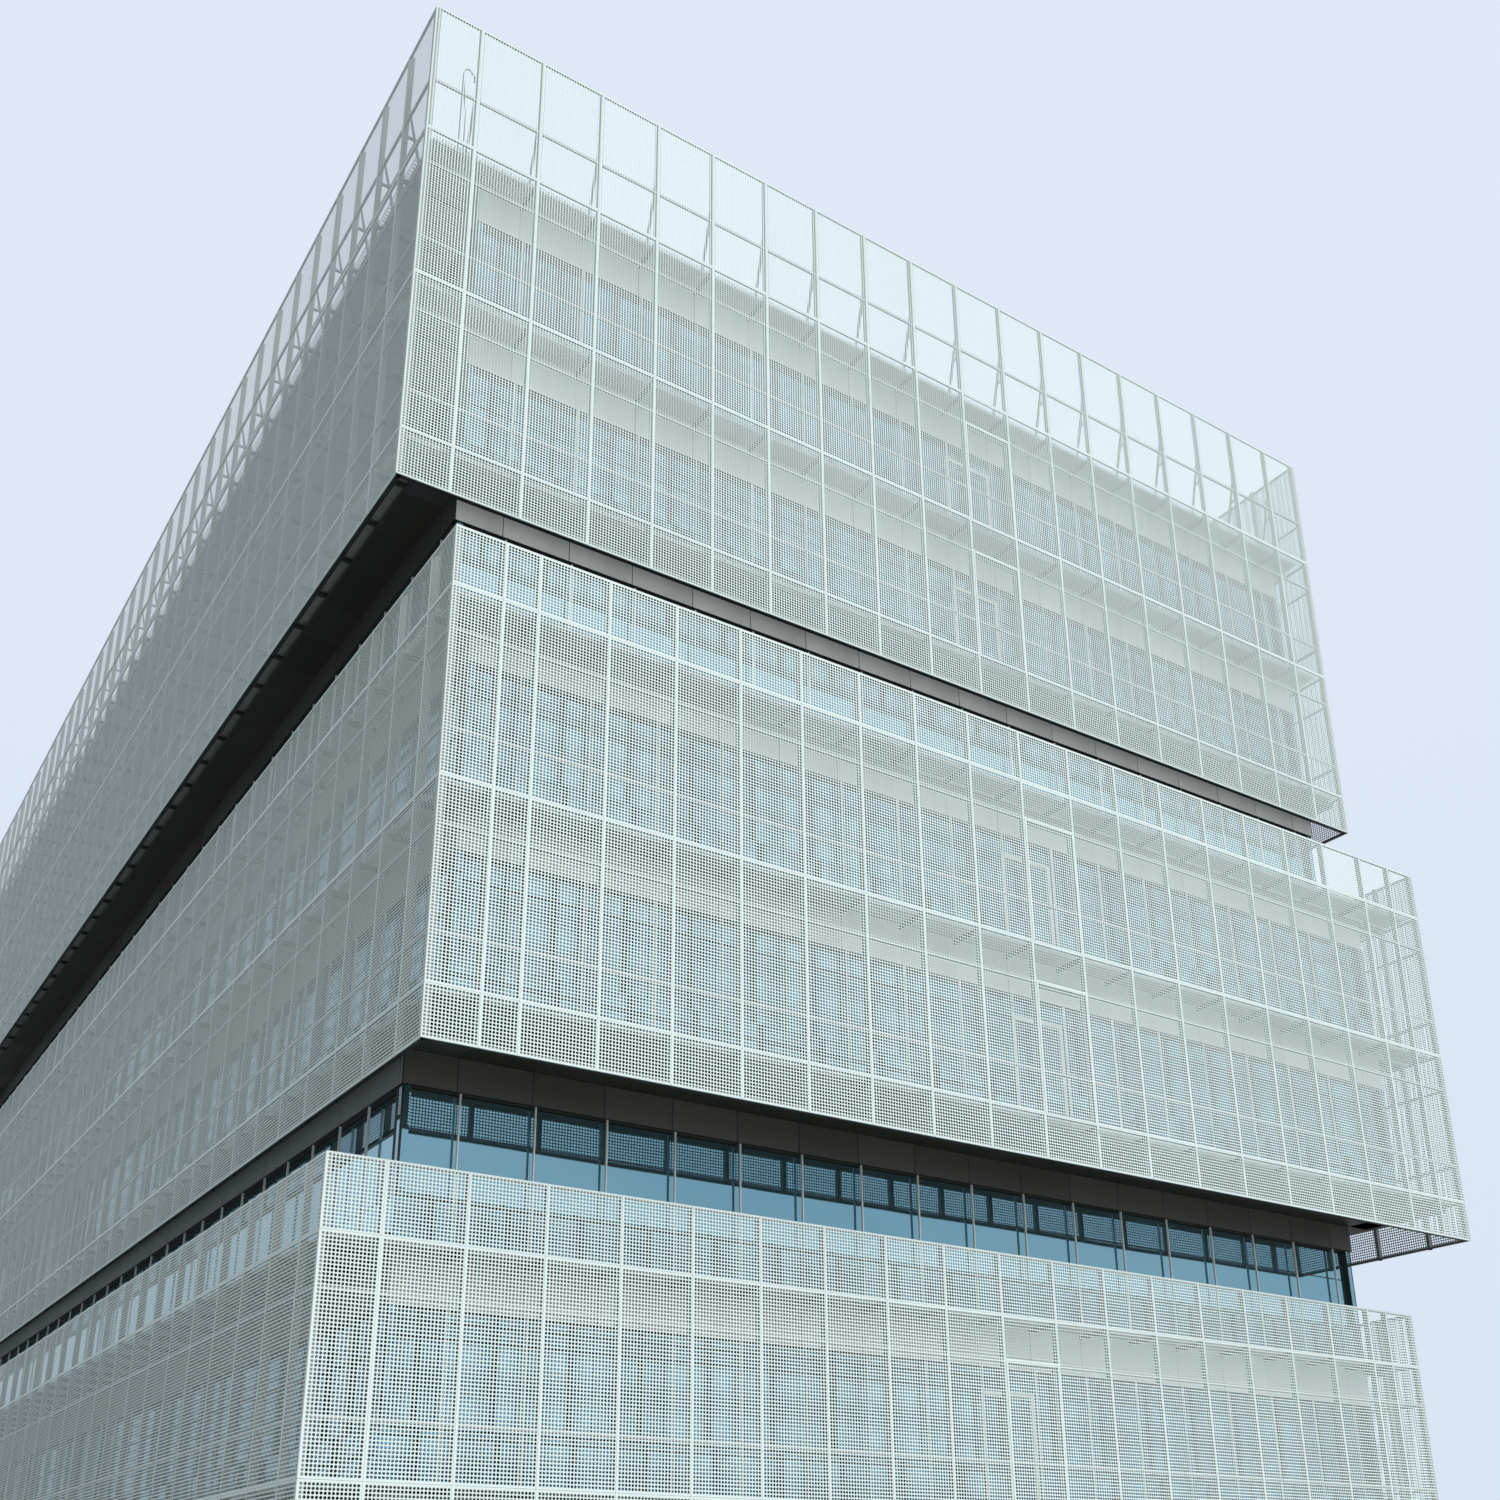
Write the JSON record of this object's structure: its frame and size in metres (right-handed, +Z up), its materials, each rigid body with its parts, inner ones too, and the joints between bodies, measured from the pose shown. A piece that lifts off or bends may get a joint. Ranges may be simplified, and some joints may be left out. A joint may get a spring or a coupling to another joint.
{
  "type": "hotel building, 1:2 scale model",
  "caption": "Hotel of three stacked, shifted blocks behind white perforated screens, as a 1:2 scale model with glazed recesses between the blocks.",
  "frame": {"origin": "centre of the rectangle that the three blocks cover, at street level", "axes": "+Z up, the front looks along -Y, +X to the right along the front"},
  "size_m": [14.41, 28.13, 17.36],
  "materials": {
    "perforated_sheet": "white coil-coated perforated aluminium sheet",
    "screen_frame": "grey paint on steel tubes, satin",
    "window_glass": "grey-blue insulating glass",
    "wall_band": "light beige cladding on the wall bands",
    "grey_fascia": "grey metal panels",
    "dark_soffit": "dark ceiling panels",
    "grating": "galvanised walkway grating",
    "steel_arm": "painted steel bracket",
    "concrete": null
  },
  "bodies": {
    "root": {"access_frames": "screen_frame", "columns": "concrete", "lower_end_walls": "wall_band", "lower_floors": "concrete", "lower_gallery_arms": "steel_arm", "lower_gallery_decks": "grating", "lower_glazing": "window_glass", "lower_screen_back": "perforated_sheet", "lower_screen_front": "perforated_sheet", "lower_screen_left": "perforated_sheet", "lower_screen_posts": "screen_frame", "lower_screen_rails": "screen_frame", "lower_screen_right": "perforated_sheet", "lower_side_walls": "wall_band", "middle_end_walls": "wall_band", "middle_floors": "concrete", "middle_gallery_arms": "steel_arm", "middle_gallery_decks": "grating", "middle_glazing": "window_glass", "middle_screen_back": "perforated_sheet", "middle_screen_front": "perforated_sheet", "middle_screen_left": "perforated_sheet", "middle_screen_posts": "screen_frame", "middle_screen_rails": "screen_frame", "middle_screen_right": "perforated_sheet", "middle_side_walls": "wall_band", "middle_soffit": "dark_soffit", "recess_fascias": "grey_fascia", "roof_braces": "screen_frame", "roof_chords": "screen_frame", "roof_davit": "steel_arm", "roof_slab": "concrete", "upper_end_walls": "wall_band", "upper_floors": "concrete", "upper_gallery_arms": "steel_arm", "upper_gallery_decks": "grating", "upper_glazing": "window_glass", "upper_screen_back": "perforated_sheet", "upper_screen_front": "perforated_sheet", "upper_screen_left": "perforated_sheet", "upper_screen_posts": "screen_frame", "upper_screen_rails": "screen_frame", "upper_screen_right": "perforated_sheet", "upper_side_walls": "wall_band", "upper_soffit": "dark_soffit"}
  },
  "joints": []
}
